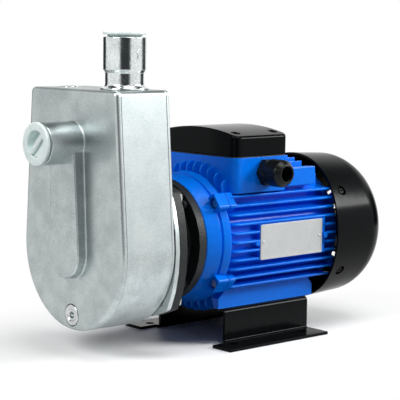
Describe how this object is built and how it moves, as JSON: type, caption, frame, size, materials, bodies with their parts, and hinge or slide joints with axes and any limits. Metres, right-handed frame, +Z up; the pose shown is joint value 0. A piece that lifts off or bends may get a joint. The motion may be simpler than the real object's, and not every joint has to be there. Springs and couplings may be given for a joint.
{
  "type": "self-priming pump",
  "caption": "Self-priming centrifugal pump with a D-shaped stainless casing, side-finned blue motor, black fan cowl and folded steel foot.",
  "frame": {"origin": "on the floor, under the middle of the whole pump", "axes": "+Y runs along the shaft from the suction port to the fan cowl, +Z is up, +X is the cable gland's side"},
  "size_m": [0.1662, 0.4004, 0.3008],
  "materials": {
    "casing_steel": "satin stainless steel",
    "nozzle_steel": "bright stainless steel",
    "white_plastic": "natural white polyethylene",
    "rubber": "black rubber",
    "seal_ceramic": "lapped white ceramic",
    "machined_steel": "machined grey steel",
    "bracket_iron": "rough black cast iron",
    "motor_blue": "glossy blue paint",
    "winding_copper": "varnished copper wire",
    "fan_plastic": "black moulded plastic",
    "black_paint": "glossy black paint",
    "board_plastic": "brown phenolic moulding",
    "gland_plastic": "black nylon",
    "plate_aluminium": "bare brushed aluminium",
    "zinc_steel": "zinc-plated steel"
  },
  "bodies": {
    "pump": {"pump_casing": "casing_steel", "discharge_nozzle": "nozzle_steel", "casing_back_plate": "casing_steel", "seal_plate": "casing_steel", "casing_o_ring": "rubber", "volute": "casing_steel", "seal_seat": "seal_ceramic", "bracket": "bracket_iron", "end_shield_front": "motor_blue", "motor_frame": "motor_blue", "end_shield_rear": "motor_blue", "stator_core": "machined_steel", "winding_front": "winding_copper", "winding_rear": "winding_copper", "bearing_front_outer": "machined_steel", "bearing_rear_outer": "machined_steel", "fan_cowl": "black_paint", "terminal_cover": "black_paint", "terminal_gasket": "rubber", "terminal_board": "board_plastic", "gland_body": "gland_plastic", "rating_plate": "plate_aluminium", "base_bracket": "black_paint", "casing_bolt_1": "zinc_steel", "casing_bolt_2": "zinc_steel", "casing_bolt_3": "zinc_steel", "casing_bolt_4": "zinc_steel", "shield_bolt_1": "zinc_steel", "shield_bolt_2": "zinc_steel", "shield_bolt_3": "zinc_steel", "shield_bolt_4": "zinc_steel", "cover_screw_1": "zinc_steel", "cover_screw_2": "zinc_steel", "cover_screw_3": "zinc_steel", "cover_screw_4": "zinc_steel", "cowl_screw_1": "zinc_steel", "cowl_screw_2": "zinc_steel", "cowl_screw_3": "zinc_steel", "cowl_screw_4": "zinc_steel", "base_bolt_1": "zinc_steel", "base_bolt_2": "zinc_steel", "base_bolt_3": "zinc_steel", "base_bolt_4": "zinc_steel"},
    "rotor_set": {"shaft": "machined_steel", "rotor": "machined_steel", "impeller": "casing_steel", "impeller_nut": "nozzle_steel", "seal_head": "rubber", "seal_spring": "nozzle_steel", "slinger": "rubber", "bearing_front_inner": "machined_steel", "bearing_rear_inner": "machined_steel", "fan": "fan_plastic"},
    "check_flap": {"check_flap": "rubber"},
    "suction_plug": {"suction_plug": "white_plastic"},
    "discharge_plug": {"discharge_plug": "white_plastic"},
    "drain_plug": {"drain_plug": "nozzle_steel"},
    "priming_plug": {"priming_plug": "nozzle_steel"},
    "gland_nut": {"gland_nut": "gland_plastic"}
  },
  "joints": [
    {"name": "shaft_spin", "type": "hinge", "parent": "pump", "child": "rotor_set", "pos_m": [-0.0035, 0, 0.101], "axis": [0, 1, 0], "continuous": true},
    {"name": "check_flap_swing", "type": "hinge", "parent": "pump", "child": "check_flap", "pos_m": [-0.0035, -0.15495, 0.2185], "axis": [1, 0, 0], "range_deg": [0, 60]},
    {"name": "suction_plug_pull", "type": "slide", "parent": "pump", "child": "suction_plug", "axis": [0, -1, 0], "range_m": [0, 0.03]},
    {"name": "discharge_plug_pull", "type": "slide", "parent": "pump", "child": "discharge_plug", "axis": [0, 0, 1], "range_m": [0, 0.03]},
    {"name": "drain_plug_out", "type": "slide", "parent": "pump", "child": "drain_plug", "axis": [0, -1, 0], "range_m": [0, 0.03]},
    {"name": "priming_plug_out", "type": "slide", "parent": "pump", "child": "priming_plug", "axis": [0, 0, 1], "range_m": [0, 0.03]},
    {"name": "gland_nut_turn", "type": "hinge", "parent": "pump", "child": "gland_nut", "pos_m": [0.0631, 0.03225, 0.1665], "axis": [1, 0, 0], "continuous": true}
  ]
}
